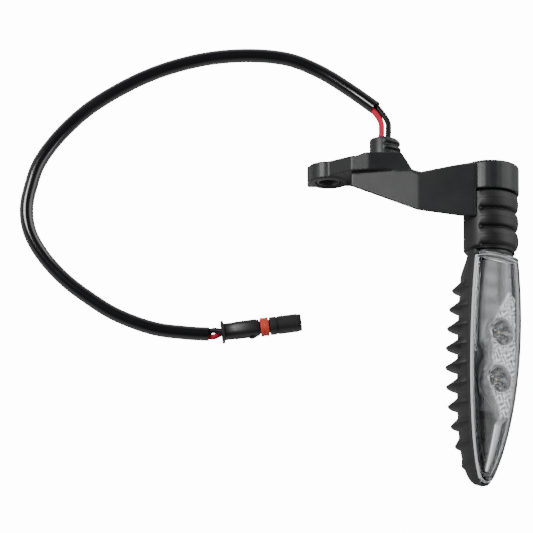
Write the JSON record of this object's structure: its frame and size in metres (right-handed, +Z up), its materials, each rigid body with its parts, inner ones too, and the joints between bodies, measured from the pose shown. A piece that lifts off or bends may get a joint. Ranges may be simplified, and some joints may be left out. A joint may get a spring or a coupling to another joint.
{
  "type": "turn signal indicator",
  "caption": "Motorcycle LED turn signal on a flexible rubber neck and a bent plastic arm with a screw foot, with its sleeved two-wire cable and sealed plug",
  "frame": {"origin": "on the table plane, under the middle of the box around the lamp, neck and arm (without the cable)", "axes": "+Z up from the table, Y along the lamp's long axis with the lamp's tip towards -Y and the mounting foot's face towards +Y, X from the foot (left) to the lamp (right)"},
  "size_m": [0.1752, 0.1622, 0.0257],
  "materials": {
    "black_plastic": "moulded, fine texture, slight sheen",
    "plug_plastic": "moulded, satin",
    "black_rubber": "matt",
    "dark_steel": "black oxide",
    "gloss_vinyl": "glossy extruded sleeve",
    "orange_seal": "satin silicone",
    "clear_lens": "clear, polished",
    "clear_optic": "clear, faceted",
    "chrome": "vacuum metallised",
    "board_mask": "solder mask",
    "aluminium": "satin",
    "screw_steel": "zinc plated",
    "led_ceramic": "ceramic with phosphor",
    "red_insulation": "satin insulation",
    "black_insulation": "satin insulation",
    "brass_contact": "plated"
  },
  "bodies": {
    "arm": {"mounting_arm": "black_plastic", "screw_bush": "dark_steel", "wire_grommet": "black_rubber", "arm_lead_red": "red_insulation", "arm_lead_black": "black_insulation", "neck_boot": "black_rubber", "cable_sleeve": "gloss_vinyl", "wire_lamp_end_red": "red_insulation", "wire_lamp_end_black": "black_insulation", "wire_plug_end_red": "red_insulation", "wire_plug_end_black": "black_insulation", "plug_body": "plug_plastic", "plug_ring_seal": "orange_seal", "plug_contact_red": "brass_contact", "plug_contact_black": "brass_contact"},
    "neck_link": {"neck_core": "black_rubber", "neck_lead_red": "red_insulation", "neck_lead_black": "black_insulation"},
    "lamp_head": {"rear_housing": "black_plastic", "lens": "clear_lens", "lens_gasket": "black_rubber", "reflector": "chrome", "bezel": "black_plastic", "circuit_board": "board_mask", "heat_spreader": "aluminium", "board_screw_upper": "screw_steel", "board_screw_lower": "screw_steel", "led_upper": "led_ceramic", "led_lower": "led_ceramic", "optic_upper": "clear_optic", "optic_lower": "clear_optic", "lamp_lead_red": "red_insulation", "lamp_lead_black": "black_insulation"}
  },
  "joints": [
    {"name": "neck_fold", "type": "hinge", "parent": "arm", "child": "neck_link", "pos_m": [0.0269, 0.0295, 0.0157], "axis": [0.766, 0, -0.6428], "range_deg": [-15, 15], "stiffness_Nm_per_rad": 3, "deforming": ["neck_boot"]},
    {"name": "neck_sway", "type": "hinge", "parent": "neck_link", "child": "lamp_head", "pos_m": [0.0269, 0.0235, 0.0157], "axis": [0.6428, 0, 0.766], "range_deg": [-15, 15], "stiffness_Nm_per_rad": 3, "deforming": ["neck_boot"]}
  ]
}
